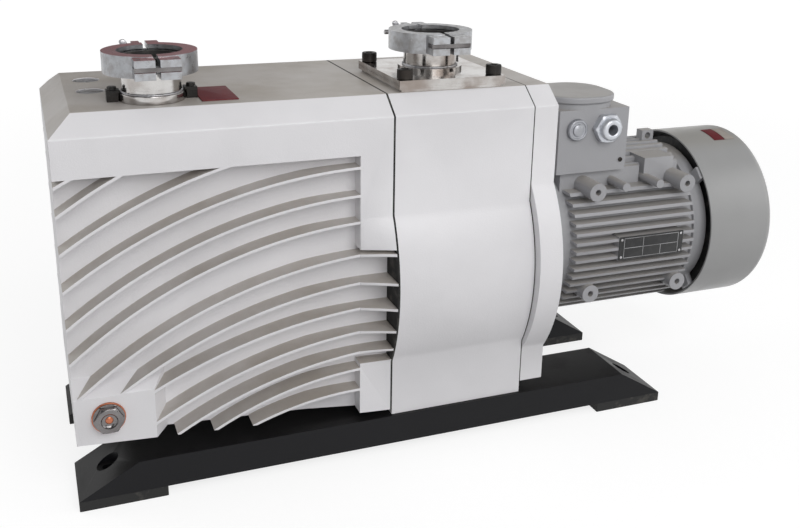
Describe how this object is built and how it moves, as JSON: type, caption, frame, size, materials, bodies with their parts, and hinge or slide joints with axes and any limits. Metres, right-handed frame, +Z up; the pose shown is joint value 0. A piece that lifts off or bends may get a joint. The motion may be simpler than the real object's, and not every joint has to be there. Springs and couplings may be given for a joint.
{
  "type": "oil-sealed rotary vane vacuum pump",
  "caption": "Rotary vane vacuum pump: ribbed oil box, pump casing with clamped inlet and exhaust ports, finned motor, all on base rails.",
  "frame": {"origin": "centre of the four base holes, on the floor under the foot pads", "axes": "+X from the oil box to the motor along the shaft, +Y away from the side that the picture shows, +Z up"},
  "size_m": [0.82, 0.302, 0.4435],
  "materials": {
    "housing_paint": "painted off-white, satin",
    "base_paint": "satin",
    "rubber": "matt",
    "bolt_steel": "satin",
    "black_steel": "oxide black",
    "grey_iron": "machined",
    "vane_composite": "matt",
    "seal_rubber": "matt",
    "filter_fleece": "matt",
    "bright_steel": "polished",
    "clamp_aluminium": "satin",
    "red_plate": "satin",
    "motor_paint": "painted grey",
    "winding": "varnished",
    "motor_core": "laminated",
    "fan_plastic": "matt",
    "spider_plastic": "matt",
    "plate_black": "anodised",
    "plug_plastic": "matt"
  },
  "bodies": {
    "pump": {"base_rail_front": "base_paint", "base_rail_rear": "base_paint", "foot_pads": "rubber", "base_bolts": "bolt_steel", "oil_box": "housing_paint", "seam_gaskets": "seal_rubber", "box_tie_screws": "bolt_steel", "pump_casing": "housing_paint", "cover_ring": "housing_paint", "lantern_screws": "bolt_steel", "drive_side_plate": "grey_iron", "high_stage_cylinder": "grey_iron", "centre_plate": "grey_iron", "low_stage_cylinder": "grey_iron", "end_plate": "grey_iron", "module_tie_rods": "bolt_steel", "oil_pump": "grey_iron", "shaft_seal": "seal_rubber", "exhaust_valve_stop": "bolt_steel", "demister": "filter_fleece", "exhaust_port": "bright_steel", "exhaust_claws": "bolt_steel", "inlet_port": "bright_steel", "inlet_plate_screws": "black_steel", "exhaust_clamp_left": "clamp_aluminium", "exhaust_clamp_right": "clamp_aluminium", "inlet_clamp_left": "clamp_aluminium", "inlet_clamp_right": "clamp_aluminium", "clamp_links": "bolt_steel", "port_seals": "seal_rubber", "red_plates": "red_plate", "drive_end_shield": "motor_paint", "motor_frame": "motor_paint", "rear_shield": "motor_paint", "motor_stator": "motor_core", "motor_bearings": "bolt_steel", "fan_cowl": "motor_paint", "terminal_box": "motor_paint", "terminal_lid": "motor_paint", "cable_glands": "plug_plastic", "motor_nameplate": "plate_black"},
    "pump_rotor": {"pump_rotor": "bolt_steel", "pump_hub": "grey_iron"},
    "motor_rotor": {"motor_rotor": "motor_core", "motor_hub": "grey_iron", "coupling_spider": "spider_plastic", "fan": "fan_plastic"},
    "high_vane_front": {"high_vane_front": "vane_composite"},
    "high_vane_rear": {"high_vane_rear": "vane_composite"},
    "low_vane_front": {"low_vane_front": "vane_composite"},
    "low_vane_rear": {"low_vane_rear": "vane_composite"},
    "exhaust_valve_leaf": {"exhaust_valve_leaf": "bolt_steel"},
    "inlet_valve": {"inlet_valve": "bolt_steel"},
    "exhaust_swing_bolt": {"exhaust_swing_bolt": "bolt_steel"},
    "exhaust_wing_nut": {"exhaust_wing_nut": "clamp_aluminium"},
    "inlet_swing_bolt": {"inlet_swing_bolt": "bolt_steel"},
    "inlet_wing_nut": {"inlet_wing_nut": "clamp_aluminium"},
    "oil_filler_plug": {"oil_filler_plug": "plug_plastic"},
    "gas_ballast_plug": {"gas_ballast_plug": "plug_plastic"},
    "drain_plug": {"drain_plug": "bolt_steel"}
  },
  "joints": [
    {"name": "motor_spin", "type": "hinge", "parent": "pump", "child": "motor_rotor", "pos_m": [0.2715, 0, 0.192], "axis": [1, 0, 0], "continuous": true},
    {"name": "pump_spin", "type": "hinge", "parent": "pump", "child": "pump_rotor", "pos_m": [0.0565, 0, 0.192], "axis": [1, 0, 0], "continuous": true},
    {"name": "high_vane_front_slide", "type": "slide", "parent": "pump_rotor", "child": "high_vane_front", "axis": [0, -1, 0], "range_m": [0, 0.0075]},
    {"name": "high_vane_rear_slide", "type": "slide", "parent": "pump_rotor", "child": "high_vane_rear", "axis": [0, 1, 0], "range_m": [0, 0.0075]},
    {"name": "low_vane_front_slide", "type": "slide", "parent": "pump_rotor", "child": "low_vane_front", "axis": [0, -1, 0], "range_m": [0, 0.0075]},
    {"name": "low_vane_rear_slide", "type": "slide", "parent": "pump_rotor", "child": "low_vane_rear", "axis": [0, 1, 0], "range_m": [0, 0.0075]},
    {"name": "exhaust_leaf_lift", "type": "hinge", "parent": "pump", "child": "exhaust_valve_leaf", "pos_m": [-0.0357, 0.034, 0.2553], "axis": [0, -1, 0], "range_deg": [0, 8]},
    {"name": "inlet_valve_lift", "type": "slide", "parent": "pump", "child": "inlet_valve", "axis": [0, 0, 1], "range_m": [0, 0.008]},
    {"name": "exhaust_bolt_swing", "type": "hinge", "parent": "pump", "child": "exhaust_swing_bolt", "pos_m": [-0.222, 0, 0.425], "axis": [0, 0, -1], "range_deg": [0, 100]},
    {"name": "exhaust_nut_turn", "type": "hinge", "parent": "exhaust_swing_bolt", "child": "exhaust_wing_nut", "pos_m": [-0.222, 0, 0.425], "axis": [1, 0, 0], "continuous": true},
    {"name": "inlet_bolt_swing", "type": "hinge", "parent": "pump", "child": "inlet_swing_bolt", "pos_m": [0.0705, 0.022, 0.431], "axis": [0, 0, -1], "range_deg": [0, 100]},
    {"name": "inlet_nut_turn", "type": "hinge", "parent": "inlet_swing_bolt", "child": "inlet_wing_nut", "pos_m": [0.0705, 0.022, 0.431], "axis": [1, 0, 0], "continuous": true},
    {"name": "oil_filler_plug_out", "type": "slide", "parent": "pump", "child": "oil_filler_plug", "axis": [0, 0, 1], "range_m": [0, 0.03]},
    {"name": "gas_ballast_turn", "type": "hinge", "parent": "pump", "child": "gas_ballast_plug", "pos_m": [-0.2835, 0.058, 0.385], "axis": [0, 0, 1], "range_deg": [0, 180]},
    {"name": "drain_plug_out", "type": "slide", "parent": "pump", "child": "drain_plug", "axis": [0, -1, 0], "range_m": [0, 0.03]}
  ],
  "couplings": [
    {"joint": "pump_spin", "follows": "motor_spin", "ratio": 1}
  ]
}
